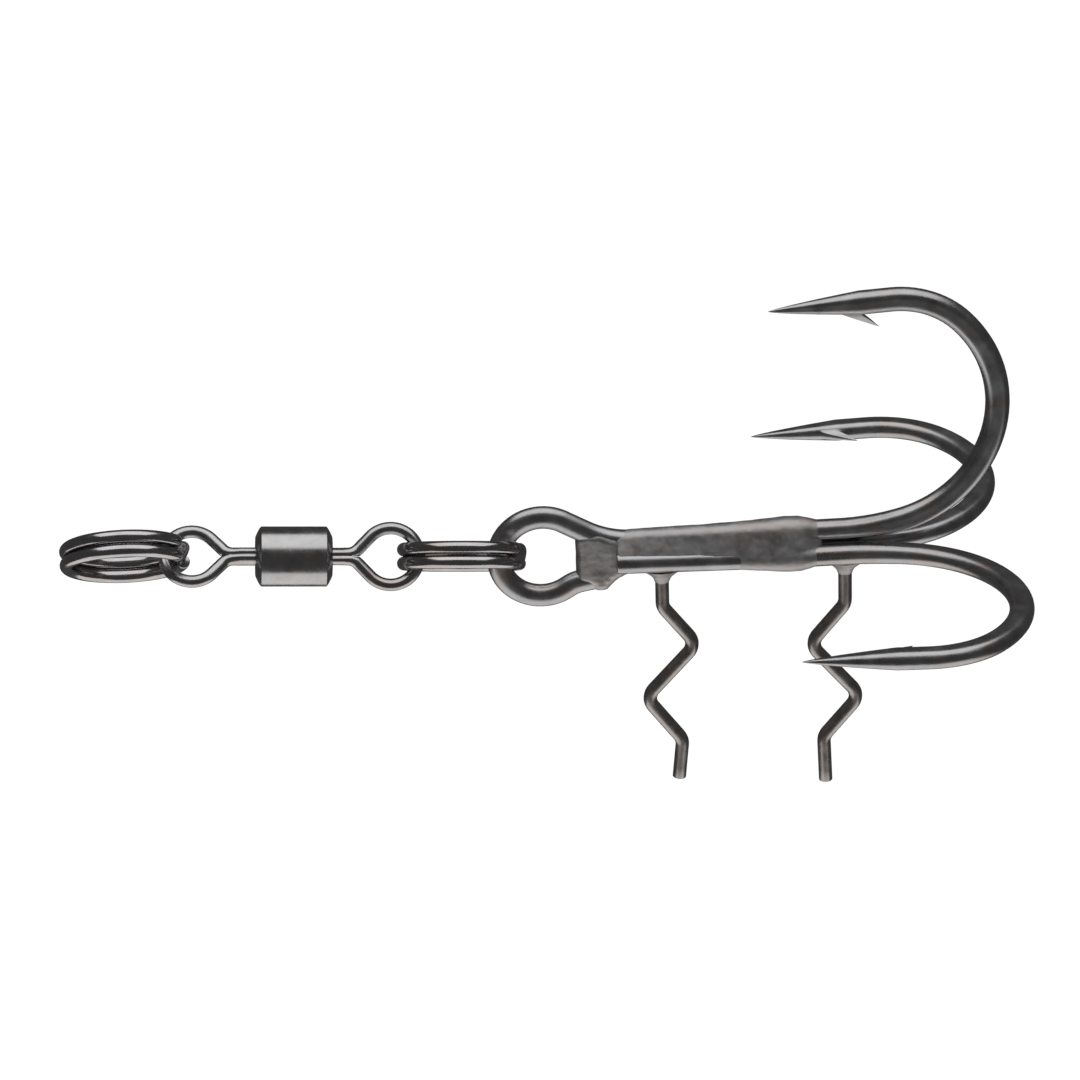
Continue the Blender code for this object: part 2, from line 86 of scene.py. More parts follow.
# beads that close the hook eye in millimetres: station, low end, high end, radius
EYE_BEADS = ((3.58, -2.25, 2.35, 0.87), (4.00, -2.35, 2.45, 0.95), (4.40, -2.55, 2.50, 0.99),
             (4.80, -2.95, 2.40, 1.00), (5.20, -2.50, 2.25, 1.02), (5.65, -2.10, 2.10, 1.04),
             (6.10, -1.85, 1.95, 1.05), (6.60, -1.60, 1.85, 1.03), (7.10, -1.45, 1.75, 0.98))

# small sizes that the sidebar leaves out
LEG_OFFSET = 0.24 * MM  # from the stem's middle to the middle of a pressed leg
LEG_PRESS = 0.60 * MM  # length over which a leg is pressed to its half round
HEAD_INSET = 0.20 * MM  # from an end wall to the end of its stem
HEAD_OVERLAP = 0.15 * MM  # how far a stem runs into its head
HEAD_EDGE = 0.25 * MM  # rounding of a head's rims
RING_EDGE = 0.10 * MM  # rounding of the rings' cut ends
HOOK_EDGE = 0.12 * MM  # rounding of the hooks' cut ends
PIN_EDGE = 0.07 * MM  # rounding of the pins' cut ends
MOUTH_LIP = 0.30 * MM  # width of the lip round the barrel's mouth
MOUTH_DROP = 0.12 * MM  # how far that lip falls inwards
SWAGE_CURVE = 0.72  # below one: steep at the rim, flat at the nose
POINT_CURVE = 0.75  # below one: a full point that narrows late
POINT_BLUNT = 0.012  # share of the wire that is left at the very tip
BARB_HALF = 0.32 * MM  # half the width of the sliver that the barb is raised from
COLLAR_START = 0.15 * MM  # how far a collar starts inside the shank
COLLAR_CURVE = 1.8  # above one: wide under the shank, then quickly thin
COLLAR_NARROW = 0.25  # how much narrower a collar is across the shank than along it
BEAD_NECK = 0.6  # how far a bead is drawn in at its ends
SMOOTH_ANGLE = 38  # degrees above which an edge stays sharp
BACKDROP_GLOW = 1.05  # just past white, so the backdrop has no tone


# ------------------------------------------------------------------ properties

def size(name, millimetres, description):
    """A length that the sidebar shows in the scene's units."""
    return FloatProperty(name=name, description=description, default=millimetres * MM,
                         subtype='DISTANCE', unit='LENGTH', precision=5)


def angle(name, degrees, description):
    """An angle that the sidebar shows in degrees."""
    return FloatProperty(name=name, description=description, default=math.radians(degrees),
                         subtype='ANGLE', unit='ROTATION')


def linear(hexcode):
    """Linear colour from an sRGB hex value."""
    srgb = [int(hexcode[i:i + 2], 16) / 255 for i in (0, 2, 4)]
    return [c / 12.92 if c <= 0.04045 else ((c + 0.055) / 1.055) ** 2.4 for c in srgb]


def colour(name, hexcode, description):
    """A colour whose default is an sRGB hex value."""
    return FloatVectorProperty(name=name, description=description, default=linear(hexcode),
                               subtype='COLOR', size=3, min=0.0, max=1.0)


class ChainSizes(bpy.types.PropertyGroup):
    """Where the pieces hang, measured down from where the ring bears on its line."""
    hook_eye: size("Hook eye", 38.90, "Depth of the middle of the hook eye")
    front_ring: size("Front ring", 4.25, "Depth of the middle of the front split ring")
    front_eye: size("Front swivel eye", 9.80, "Depth of the middle of the front swivel eye")
    barrel_top: size("Barrel top", 15.05, "Depth of the top of the barrel")
    rear_eye: size("Rear swivel eye", 26.30, "Depth of the middle of the rear swivel eye")
    rear_ring: size("Rear ring", 32.22, "Depth of the middle of the rear split ring")
    front_ring_turn: angle("Front ring turn", 39.3, "Turn of the front ring about the chain")
    front_eye_turn: angle("Front eye turn", 51.3, "Turn of the front eye about the chain")
    rear_eye_turn: angle("Rear eye turn", 26.3, "Turn of the rear eye about the chain")
    rear_ring_turn: angle("Rear ring turn", 28.3, "Turn of the rear ring about the chain")
    front_ring_lean: angle("Front ring lean", 2.5, "Lean of the front ring")
    hook_lean: angle("Hook lean", 3.5, "Lean of the treble towards the bait pins")


class RingSizes(bpy.types.PropertyGroup):
    """Split rings: two flat turns of wire joined by a short jog."""
    outside: size("Outside", 10.80, "Outside diameter of the ring")
    wire: size("Wire width", 1.09, "Width of the wire across the ring")
    turn_height: size("Wire height", 1.13, "Height of one turn of wire")
    gap: size("Turn gap", 0.03, "Gap between the two turns")
    jog: angle("Jog", 30.0, "Length of the jog round the ring")
    jog_turn: angle("Jog turn", 12.0, "Where the jog lies round the ring")


class SwivelSizes(bpy.types.PropertyGroup):
    """Rolling swivel: two wire eyes whose heads turn in one barrel."""
    wire: size("Eye wire radius", 0.525, "Radius of the wire of the eyes")
    front_hole: size("Front hole radius", 1.75, "Radius inside the front eye")
    rear_hole: size("Rear hole radius", 1.835, "Radius inside the rear eye")
    leg_angle: angle("Leg angle", 46.0, "Angle at which the legs run to the stem")
    leg_bend: size("Leg bend radius", 1.20, "Radius of the bend into the stem")
    stem: size("Stem radius", 0.73, "Radius of the two legs pressed together")
    seam: size("Stem seam", 0.015, "Half the gap between the two legs")
    head: size("Head radius", 1.75, "Radius of the head inside the barrel")
    head_length: size("Head length", 1.80, "Length of the head inside the barrel")
    barrel: size("Barrel radius", 2.50, "Outside radius of the barrel")
    barrel_length: size("Barrel length", 6.40, "Length of the barrel")
    bore: size("Bore radius", 1.88, "Inside radius of the barrel")
    mouth: size("Mouth radius", 0.81, "Radius of the hole each stem passes through")
    end_wall: size("End wall", 0.80, "Thickness of the swaged ends")
    nose: size("Nose radius", 1.62, "Radius of the flat of each swaged end")
    nose_length: size("Nose length", 0.50, "Length of each swaged end")


class HookSizes(bpy.types.PropertyGroup):
    """The three hooks and the eye that the top hook's wire is bent into."""
    wire: size("Wire radius", 0.925, "Radius of the hook wire")
    forged_width: size("Forged half width", 1.02, "Half the width of the forged bend")
    forged_thick: size("Forged half thickness", 0.92, "Half the thickness before the flats")
    flat: size("Flat level", 0.80, "Distance of the forged flats from the middle plane")
    top_up: size("Top wire height", 1.30, "Height of the top wire above the shank's middle")
    side_up: size("Side wire height", -0.58, "Height of the side wires")
    side_out: size("Side wire spread", 1.00, "Distance of each side wire from the middle")
    side_start: size("Side wire start", 6.05, "Station where the side wires start")
    side_tilt: angle("Side tilt", 2.1, "Tilt of the side hooks up from square to the top hook")
    splay_end: size("Splay end", 20.0, "Station where the side wires settle against the top one")
    splay_up: FloatProperty(name="Splay up", default=0.028,
                            description="Rise of the side wires towards the eye")
    splay_out: FloatProperty(name="Splay out", default=0.014,
                             description="Spread of the side wires towards the eye")
    top_bend: size("Top bend start", 25.20, "Station where the top hook's bend starts")
    left_bend: size("Left bend start", 25.50, "Station where the left hook's bend starts")
    right_bend: size("Right bend start", 25.75, "Station where the right hook's bend starts")
    point: size("Point length", 10.15, "Straight length from the bend to the tip")
    taper: size("Taper length", 7.6, "Length over which the point tapers")
    barb_root: size("Barb root", 7.55, "Distance of the barb's root from the tip")
    barb_reach: size("Barb reach", 8.95, "Distance of the barb's tip from the point")
    barb_rise: size("Barb rise", 1.40, "Height of the barb's tip above the wire")
    eye_along: size("Eye offset along", -0.10, "Where the middle of the eye lies along the shank")
    eye_up: size("Eye offset up", 0.27, "Where the middle of the eye lies upwards")
    eye: size("Eye radius", 3.62, "Mean radius of the hook eye")
    eye_width: size("Eye half width", 0.975, "Half the width of the wire round the eye")
    eye_thick: size("Eye half thickness", 0.82, "Half the thickness of the wire round the eye")
    top_leave: angle("Top leave", 30.0, "Angle at which the wire leaves the eye to the shank")
    top_return: size("Top return radius", 8.0, "Radius of the bend back into the shank")
    end_leave: angle("End leave", 35.0, "Angle at which the cut end leaves the eye")
    end_heading: angle("End heading", 10.0, "Heading of the cut end")
    end_return: size("End return radius", 3.0, "Radius of the bend before the cut end")
    end_straight: size("End straight", 1.60, "Straight length before the cut end")


class PinSizes(bpy.types.PropertyGroup):
    """Zigzag bait pins under the shank."""
    wire: size("Wire radius", 0.58, "Radius of the pin wire")
    bend: size("Bend radius", 1.30, "Radius of each kink on the pin's middle line")
    front_top: size("Front top", -1.42, "Height at which the front pin starts")
    rear_top: size("Rear top", -1.54, "Height at which the rear pin starts")
    front_at: size("Front station", 9.90, "Station of the front pin")
    rear_at: size("Rear station", 25.30, "Station of the rear pin")
    fillet: size("Fillet width", 1.38, "How far the filler spreads round a pin")
    fillet_length: size("Fillet length", 1.25, "How far the filler runs down a pin")


class FinishSettings(bpy.types.PropertyGroup):
    """Colours of the plated finishes and of the stage."""
    ring: colour("Split ring", "ABA8A9", "Bright black nickel on hard drawn wire")
    swivel: colour("Swivel", "A8A7A8", "Black nickel on machined brass")
    hook: colour("Hook", "A2A1A3", "Black nickel on forged high carbon steel")
    braze: colour("Braze", "ABA9A9", "Black nickel over silver braze")
    pin: colour("Bait pin", "A39E9C", "Black nickel on bent wire")
    bronze: colour("Bronze tint", "A8917F", "Warm tint where the plating thins")
    backdrop: colour("Backdrop", "FFFFFF", "Lit white table and sweep")


class StageSettings(bpy.types.PropertyGroup):
    """Camera, lights and backdrop."""
    turn: angle("Camera turn", 26.3, "Turn of the camera about the chain")
    tilt: angle("Camera tilt", 4.19, "Tilt of the camera along the chain")
    distance: size("Camera distance", 424.1, "Distance of the camera from its aim")
    field: size("Field", 90.0, "Width of the view at the aim")
    aim_down: size("Aim down", 38.75, "Depth of the aim along the chain")
    aim_up: size("Aim up", 1.37, "Height of the aim above the chain in the view")
    floor_drop: size("Floor drop", 6.0, "Clearance between the hook and the floor")
    key: FloatProperty(name="Key light", description="Brightness of the overhead softbox",
                       default=1.40, min=0.0)
    fill: FloatProperty(name="Table light", description="Brightness of the table below",
                        default=1.15, min=0.0)
    room: FloatProperty(name="Room", description="Brightness of the dark studio round it",
                        default=0.07, min=0.0)


# --------------------------------------------------------------- frames of reference

def chain_frame(depth, turn):
    """On the chain: local Z points down the chain, local X is turned about it."""
    flip = Matrix.Rotation(math.pi, 4, 'X')
    return Matrix.Translation((0, 0, -depth)) @ Matrix.Rotation(turn, 4, 'Z') @ flip


def flat_to_chain():
    """What is drawn in the XY plane with X along the chain, stood up on the chain."""
    return Matrix(((0, 1, 0, 0), (0, 0, 1, 0), (1, 0, 0, 0), (0, 0, 0, 1)))


def hook_frame(scene):
    """The hook's own frame, leaned about its eye."""
    chain, hook = scene.treble_chain, scene.treble_hook
    lean = Matrix.Rotation(-chain.hook_lean, 4, 'Y')
    axes = Matrix(((0, 1, 0, 0), (0, 0, -1, 0), (-1, 0, 0, 0), (0, 0, 0, 1)))
    eye = Matrix.Translation((-hook.eye_along, -hook.eye_up, 0))
    return Matrix.Translation((0, 0, -chain.hook_eye)) @ lean @ axes @ eye


def side_plane(hook, side):
    """The plane a side hook is bent in, in the hook's frame."""
    up = math.sin(hook.side_tilt)
    out = side * math.cos(hook.side_tilt)
    return Matrix(((1, 0, 0, 0), (0, up, -out, hook.side_up), (0, out, up, 0), (0, 0, 0, 1)))


def side_wire_at(hook, station, side):
    """Where a side wire runs at a station of the shank, in the hook's frame."""
    ahead = max(0.0, hook.splay_end - station)
    spread = Vector((0, ahead * hook.splay_up, side * ahead * hook.splay_out))
    return side_plane(hook, side) @ Vector((station, hook.side_out, 0)) + spread


def camera_axes(stage):
    """Right, up and back of the view, as unit vectors."""
    towards = Vector((math.sin(stage.turn), -math.cos(stage.turn), 0))
    up = Vector((math.cos(stage.turn), math.sin(stage.turn), 0))
    down = Vector((0, 0, -1))
    right = down * math.cos(stage.tilt) + towards * math.sin(stage.tilt)
    back = towards * math.cos(stage.tilt) - down * math.sin(stage.tilt)
    return right, up, back


def camera_aim(stage):
    return Vector((0, 0, -stage.aim_down)) + camera_axes(stage)[1] * stage.aim_up


# ------------------------------------------------------------------- modelling helpers

def only(obj):
    """Select one object and make it active."""
    bpy.ops.object.select_all(action='DESELECT')
    obj.select_set(True)
    bpy.context.view_layer.objects.active = obj


def pick_verts(obj, test):
    """In edit mode, select only the vertices whose place passes a test."""
    bpy.ops.mesh.select_mode(type='VERT')
    bpy.ops.mesh.select_all(action='DESELECT')
    mesh = bmesh.from_edit_mesh(obj.data)
    for vert in mesh.verts:
        if test(vert.co):
            vert.select_set(True)
    mesh.select_flush(True)
    bmesh.update_edit_mesh(obj.data)


def pick_faces(obj, test):
    """In edit mode, select only the faces that pass a test."""
    bpy.ops.mesh.select_mode(type='FACE')
    bpy.ops.mesh.select_all(action='DESELECT')
    mesh = bmesh.from_edit_mesh(obj.data)
    for face in mesh.faces:
        if test(face):
            face.select_set(True)
    bmesh.update_edit_mesh(obj.data)


def apply_modifier(obj, kind, **settings):
    """Add a modifier with its settings and apply it."""
    only(obj)
    modifier = obj.modifiers.new(kind.title(), kind)
    for key, value in settings.items():
        setattr(modifier, key, value)
    bpy.ops.object.modifier_apply(modifier=modifier.name)


def copy_of(obj):
    """A copy with its own mesh."""
    twin = obj.copy()
    twin.data = obj.data.copy()
    bpy.context.scene.collection.objects.link(twin)
    return twin


def join(objs):
    only(objs[0])
    for obj in objs[1:]:
        obj.select_set(True)
    bpy.ops.object.join()
    return objs[0]


def soften_caps(obj, width, segments=3):
    """Round the rims of the cut ends, which are the only many-sided faces."""
    only(obj)
    bpy.ops.object.mode_set(mode='EDIT')
    pick_faces(obj, lambda face: len(face.verts) > 6)
    bpy.ops.mesh.bevel(offset=width, segments=segments, affect='EDGES')
    bpy.ops.object.mode_set(mode='OBJECT')


def melt(obj, voxel, flow, lump_height, lump_size):
    """Run joined pieces together like filler: one skin, smoothed, with low lumps."""
    apply_modifier(obj, 'REMESH', mode='VOXEL', voxel_size=voxel)
    apply_modifier(obj, 'SMOOTH', factor=0.5, iterations=flow)
    lumps = bpy.data.textures.new("filler_lumps", 'CLOUDS')
    lumps.noise_scale = lump_size
    lumps.noise_depth = 2
    apply_modifier(obj, 'DISPLACE', texture=lumps, texture_coords='LOCAL',
                   strength=lump_height, mid_level=0.5)


def finished(obj, name, placed, body, node, finish):
    """Settle a piece: in its place, smooth, facing out, plated, and on its body."""
    obj.name = name
    obj.data.name = name
    obj.matrix_world = placed
    only(obj)
    bpy.ops.object.transform_apply(location=True, rotation=True, scale=True)
    bpy.ops.object.mode_set(mode='EDIT')
    bpy.ops.mesh.select_all(action='SELECT')
    bpy.ops.mesh.normals_make_consistent(inside=False)
    bpy.ops.object.mode_set(mode='OBJECT')
    bpy.ops.object.shade_smooth_by_angle(angle=math.radians(SMOOTH_ANGLE))
    obj.data.materials.clear()
    obj.data.materials.append(finish)
    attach(obj, body)
    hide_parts(node)
    return obj


def arc(at, heading, radius, turn):
    """Where a bend ends: its point and heading."""
    middle = at + Vector((-math.sin(heading), math.cos(heading), 0)) * math.copysign(radius, turn)
    return middle + Matrix.Rotation(turn, 3, 'Z') @ (at - middle), heading + turn


class Wire:
    """A wire in the XY plane: its end face is extruded for straights and spun for bends."""

    def __init__(self, start, heading, width, thick, sides=28):
        self.end = Vector((*start, 0, 0)[:3])
        self.heading = heading
        self.width = width
        self.thick = width
        bpy.ops.object.select_all(action='DESELECT')
        bpy.ops.mesh.primitive_circle_add(vertices=sides, radius=width, fill_type='NGON',
                                          location=self.end, rotation=(0, math.pi / 2, heading))
        self.obj = bpy.context.object
        bpy.ops.object.transform_apply(location=True, rotation=True, scale=True)
        bpy.ops.object.mode_set(mode='EDIT')
        bpy.ops.mesh.select_mode(type='VERT')
        bpy.ops.mesh.select_all(action='SELECT')
        self.section(width, thick)

    def section(self, width, thick):
        """Draw the end face in or out to a half width and half thickness."""
        across = width / self.width
        bpy.ops.transform.resize(value=(across, across, thick / self.thick),
                                 center_override=self.end)
        self.width = width
        self.thick = thick

    def move(self, step):
        bpy.ops.transform.translate(value=step)
        self.end += Vector(step)

    def straight(self, length, steps=1, shape=None):
        step = Vector((math.cos(self.heading), math.sin(self.heading), 0)) * (length / steps)
        for k in range(steps):
            bpy.ops.mesh.extrude_region_move(TRANSFORM_OT_translate={"value": step})
            self.end += step
            if shape:
                self.section(*shape((k + 1) / steps))

    def bend(self, radius, turn, steps, shape=None, rise=None):
        part = turn / steps
        for k in range(steps):
            side = Vector((-math.sin(self.heading), math.cos(self.heading), 0))
            middle = self.end + side * math.copysign(radius, turn)
            # the spin tool turns clockwise for a positive angle
            bpy.ops.mesh.spin(steps=1, angle=-part, center=middle, axis=(0, 0, 1))
            self.end, self.heading = arc(self.end, self.heading, radius, part)
            if rise:
                self.move((0, 0, rise((k + 1) / steps) - rise(k / steps)))
            if shape:
                self.section(*shape((k + 1) / steps))

    def flatten(self, level):
        """Press the end face's sides flat at a level either side of the middle plane."""
        forward = Vector((math.cos(self.heading), math.sin(self.heading), 0))
        reach = max(self.width, self.thick) * 1.5

        def on_end(place):
            gap = place - self.end
            return abs(gap.dot(forward)) < 1e-7 and gap.length < reach

        for side in (1, -1):
            pick_verts(self.obj, lambda place: on_end(place) and place.z * side > level)
            bpy.ops.transform.resize(value=(1, 1, 0), center_override=(*self.end[:2], side * level))
        pick_verts(self.obj, on_end)

    def close_point(self):
        bpy.ops.mesh.merge(type='CENTER')

    def done(self):
        bpy.ops.object.mode_set(mode='OBJECT')
        return self.obj


def blend_to(start, end):
    """A section that runs evenly from one half width and thickness to another."""
    return lambda part: (start[0] + (end[0] - start[0]) * part,
                         start[1] + (end[1] - start[1]) * part)


# ------------------------------------------------------------------------- finishes

def add_node(tree, kind, inputs=None, **settings):
    """Add one node with its properties, and set or link each named input."""
    made = tree.nodes.new(kind)
    for key, value in settings.items():
        setattr(made, key, value)
    for key, value in (inputs or {}).items():
        if isinstance(value, bpy.types.NodeSocket):
            tree.links.new(value, made.inputs[key])
        else:
            made.inputs[key].default_value = value
    return made


def black_nickel(name, base, bronze, roughness, mottle, mottle_size, grain_size, grain_depth):
    """Electroplated black nickel: a dark, slightly warm mirror that shows the metal's grain.

    The eye sees soft grey streaks of the lights on near black, faint cloudy patches,
    a bronze tint where the bath plated thinly, and the draw or grit of the metal below.
    """
    finish = bpy.data.materials.new(name)
    finish.use_nodes = True
    tree = finish.node_tree
    shader = tree.nodes["Principled BSDF"]
    shader.inputs["Metallic"].default_value = 1.0
    place = add_node(tree, 'ShaderNodeTexCoord').outputs["Object"]
    cloud = add_node(tree, 'ShaderNodeTexNoise', {
        "Vector": place, "Scale": 1 / mottle_size, "Detail": 4.0, "Roughness": 0.6}).outputs["Fac"]
    tint = add_node(tree, 'ShaderNodeTexNoise', {
        "Vector": place, "Scale": 0.35 / mottle_size, "Detail": 2.0, "Distortion": 0.8}).outputs["Fac"]
    fine = add_node(tree, 'ShaderNodeTexNoise', {
        "Vector": place, "Scale": 1 / grain_size, "Detail": 3.0, "Roughness": 0.65}).outputs["Fac"]
    dark = [c * (1 - mottle) for c in base]
    light = [min(1.0, c * (1 + mottle)) for c in base]
    patches = add_node(tree, 'ShaderNodeValToRGB', {"Fac": cloud})
    patches.color_ramp.elements[0].position = 0.30
    patches.color_ramp.elements[0].color = (*dark, 1)
    patches.color_ramp.elements[1].position = 0.70
    patches.color_ramp.elements[1].color = (*light, 1)
    thin = add_node(tree, 'ShaderNodeMapRange', {
        "Value": tint, "From Min": 0.52, "From Max": 0.72, "To Min": 0.0, "To Max": 0.35})
    plated = add_node(tree, 'ShaderNodeMix', {
        "Factor": thin.outputs["Result"], "A": patches.outputs["Color"], "B": (*bronze, 1)},
        data_type='RGBA')
    tree.links.new(plated.outputs["Result"], shader.inputs["Base Color"])
    gloss = add_node(tree, 'ShaderNodeMapRange', {
        "Value": cloud, "From Min": 0.25, "From Max": 0.75,
        "To Min": roughness * 0.8, "To Max": roughness * 1.25})
    tree.links.new(gloss.outputs["Result"], shader.inputs["Roughness"])
    grain = add_node(tree, 'ShaderNodeBump', {
        "Height": fine, "Strength": 0.6, "Distance": grain_depth})
    tree.links.new(grain.outputs["Normal"], shader.inputs["Normal"])
    return finish


def finish_for(kind):
    """The plated finish of a kind of piece, made once."""
    colours = bpy.context.scene.treble_finish
    bronze = colours.bronze
    # colour, roughness and mottle, then the size of the cloudy patches, the size of the grain
    # and its depth in millimetres; real plating grain is a few microns across, too fine to
    # show, so it is drawn 60 to 140 microns wide
    recipes = {
        "drawn_spring_wire": (colours.ring, 0.17, 0.10, 1.2, 0.09, 0.0020),
        "turned_brass": (colours.swivel, 0.24, 0.10, 1.1, 0.06, 0.0020),
        "forged_steel": (colours.hook, 0.30, 0.14, 1.6, 0.10, 0.0040),
        "silver_braze": (colours.braze, 0.50, 0.16, 0.9, 0.14, 0.0060),
        "bent_wire": (colours.pin, 0.32, 0.14, 0.9, 0.12, 0.0030),
    }
    name = "black_nickel_on_" + kind
    made = bpy.data.materials.get(name)
    if made is None:
        base, roughness, mottle, patch, grain, depth = recipes[kind]
        made = black_nickel(name, base, bronze, roughness, mottle, patch * MM, grain * MM, depth * MM)
    return made


# ------------------------------------------------------------------------- operators

class TREBLE_OT_split_rings(bpy.types.Operator):
    """Add the two split rings: one is wound and copied"""
    bl_idname = "treble.split_rings"
    bl_label = "Split Rings"
    bl_options = {'REGISTER', 'UNDO'}

    def execute(self, context):
        sizes, chain = context.scene.treble_ring, context.scene.treble_chain
        middle = (sizes.outside - sizes.wire) / 2
        rise = (sizes.turn_height + sizes.gap) / 2
        start = sizes.jog / 2
        wire = Wire((middle * math.cos(start), middle * math.sin(start)), start + math.pi / 2,
                    sizes.wire / 2, sizes.turn_height / 2, sides=24)
        wire.move((0, 0, -rise))
        wire.bend(middle, 2 * math.pi - sizes.jog, 66)
        wire.bend(middle, sizes.jog, 12, rise=lambda part: -rise * math.cos(part * math.pi))
        wire.bend(middle, 2 * math.pi - sizes.jog, 66)
        ring = wire.done()
        soften_caps(ring, RING_EDGE)
        twin = copy_of(ring)
        finish = finish_for("drawn_spring_wire")
        jog = Matrix.Rotation(math.radians(90), 4, 'Z') @ Matrix.Rotation(sizes.jog_turn, 4, 'Y')
        lean = Matrix.Rotation(chain.front_ring_lean, 4, 'Y')
        front = chain_frame(chain.front_ring, chain.front_ring_turn) @ lean @ jog
        rear = chain_frame(chain.rear_ring, chain.rear_ring_turn) @ jog
        finished(ring, "front_split_ring_wire", front @ flat_to_chain(), "line_ring_body",
                 "front_split_ring", finish)
        finished(twin, "rear_split_ring_wire", rear @ flat_to_chain(), "rear_ring_body",
                 "rear_split_ring", finish)
        return {'FINISHED'}


class TREBLE_OT_swivel_eyes(bpy.types.Operator):
    """Add the two wire eyes of the swivel, each with its head in the barrel"""
    bl_idname = "treble.swivel_eyes"
    bl_label = "Swivel Eyes"
    bl_options = {'REGISTER', 'UNDO'}

    def execute(self, context):
        sizes, chain = context.scene.treble_swivel, context.scene.treble_chain
        finish = finish_for("turned_brass")
        inside = sizes.end_wall + HEAD_INSET
        front = self.eye(sizes, sizes.front_hole, chain.barrel_top + inside - chain.front_eye)
        rear_end = chain.barrel_top + sizes.barrel_length - inside
        rear = self.eye(sizes, sizes.rear_hole, chain.rear_eye - rear_end)
        turn_back = Matrix.Rotation(math.pi, 4, 'X')
        finished(front, "front_swivel_eye_wire",
                 chain_frame(chain.front_eye, chain.front_eye_turn) @ flat_to_chain(),
                 "front_eye_body", "front_swivel_eye", finish)
        finished(rear, "rear_swivel_eye_wire",
                 chain_frame(chain.rear_eye, chain.rear_eye_turn) @ turn_back @ flat_to_chain(),
                 "rear_eye_body", "rear_swivel_eye", finish)
        return {'FINISHED'}

    def eye(self, sizes, hole, stem_end):
        """Half the eye is drawn from its apex to the stem's end and mirrored."""
        middle = hole + sizes.wire
        loop = math.pi / 2 + sizes.leg_angle
        leave = middle * math.sin(loop)
        fall = leave - LEG_OFFSET - sizes.leg_bend * (1 - math.cos(sizes.leg_angle))
        wire = Wire((-middle, 0), math.pi / 2, sizes.wire, sizes.wire, sides=24)
        wire.bend(middle, -loop, 24)
        pressed = (sizes.stem - LEG_OFFSET, sizes.stem)
        half_way = ((sizes.wire + pressed[0]) / 2, (sizes.wire + pressed[1]) / 2)
        wire.straight(fall / math.sin(sizes.leg_angle), 6)
        wire.bend(sizes.leg_bend, sizes.leg_angle, 8, shape=blend_to((sizes.wire, sizes.wire), half_way))
        wire.straight(LEG_PRESS, 4, shape=blend_to(half_way, pressed))
        wire.straight(stem_end - wire.end.x, 2)
        # the two legs are pressed flat against each other
        pick_verts(wire.obj, lambda place: place.x > 0 and place.y < sizes.seam)
        bpy.ops.transform.resize(value=(1, 0, 1), center_override=(0, sizes.seam, 0))
        pick_faces(wire.obj, lambda face: len(face.verts) > 6 and face.calc_center_median().x < 0)
        bpy.ops.mesh.delete(type='ONLY_FACE')
        half = wire.done()
        apply_modifier(half, 'MIRROR', use_axis=(False, True, False), merge_threshold=0.002 * MM)
        length = sizes.head_length
        bpy.ops.object.select_all(action='DESELECT')
        bpy.ops.mesh.primitive_cylinder_add(
            vertices=48, radius=sizes.head, depth=length, rotation=(0, math.pi / 2, 0),
            location=(stem_end + length / 2 - HEAD_OVERLAP, 0, 0))
        head = bpy.context.object
        bpy.ops.object.transform_apply(location=True, rotation=True, scale=True)
        soften_caps(head, HEAD_EDGE)
        return join([half, head])


class TREBLE_OT_swivel_barrel(bpy.types.Operator):
    """Add the hollow barrel with its swaged ends"""
    bl_idname = "treble.swivel_barrel"
    bl_label = "Swivel Barrel"
    bl_options = {'REGISTER', 'UNDO'}

    def execute(self, context):
        sizes, chain = context.scene.treble_swivel, context.scene.treble_chain
        half = sizes.barrel_length / 2
        bpy.ops.object.select_all(action='DESELECT')
        bpy.ops.mesh.primitive_cylinder_add(
            vertices=96, radius=sizes.barrel, end_fill_type='NGON',
            depth=sizes.barrel_length - 2 * sizes.nose_length)
        barrel = bpy.context.object
        bpy.ops.object.mode_set(mode='EDIT')
        for side in (1, -1):
            self.swage(barrel, sizes, side, half)
        pick_faces(barrel, lambda face: len(face.verts) > 6)
        bpy.ops.mesh.bridge_edge_loops()
        bpy.ops.object.mode_set(mode='OBJECT')
        depth = chain.barrel_top + half
        finished(barrel, "swivel_barrel_shell", chain_frame(depth, chain.rear_eye_turn),
                 "barrel_body", "swivel_barrel", finish_for("turned_brass"))
        return {'FINISHED'}

    def swage(self, barrel, sizes, side, half):
        """Roll an end in to its nose, inset the mouth, and open out to the bore."""
        pick_faces(barrel, lambda face: len(face.verts) > 6
                   and face.calc_center_median().z * side > 0)
        radius, steps = sizes.barrel, 6
        for k in range(1, steps + 1):
            # the roll starts at a crisp rim and flattens towards the nose
            part = k / steps
            wanted = sizes.barrel - (sizes.barrel - sizes.nose) * part
            rise = sizes.nose_length * (part ** SWAGE_CURVE - ((k - 1) / steps) ** SWAGE_CURVE)
            bpy.ops.mesh.extrude_region_move(TRANSFORM_OT_translate={"value": (0, 0, side * rise)})
            bpy.ops.transform.resize(value=(wanted / radius, wanted / radius, 1),
                                     center_override=(0, 0, 0))
            radius = wanted
        bpy.ops.mesh.inset(thickness=sizes.nose - sizes.mouth - MOUTH_LIP)
        bpy.ops.mesh.inset(thickness=MOUTH_LIP)
        bpy.ops.transform.translate(value=(0, 0, -side * MOUTH_DROP))
        down = -side * (sizes.end_wall - MOUTH_DROP)
        bpy.ops.mesh.extrude_region_move(TRANSFORM_OT_translate={"value": (0, 0, down)})
        centre = (0, 0, side * (half - sizes.end_wall))
        bpy.ops.mesh.extrude_region_move(TRANSFORM_OT_translate={"value": (0, 0, 0)})
        wider = sizes.bore / sizes.mouth
        bpy.ops.transform.resize(value=(wider, wider, 1), center_override=centre)


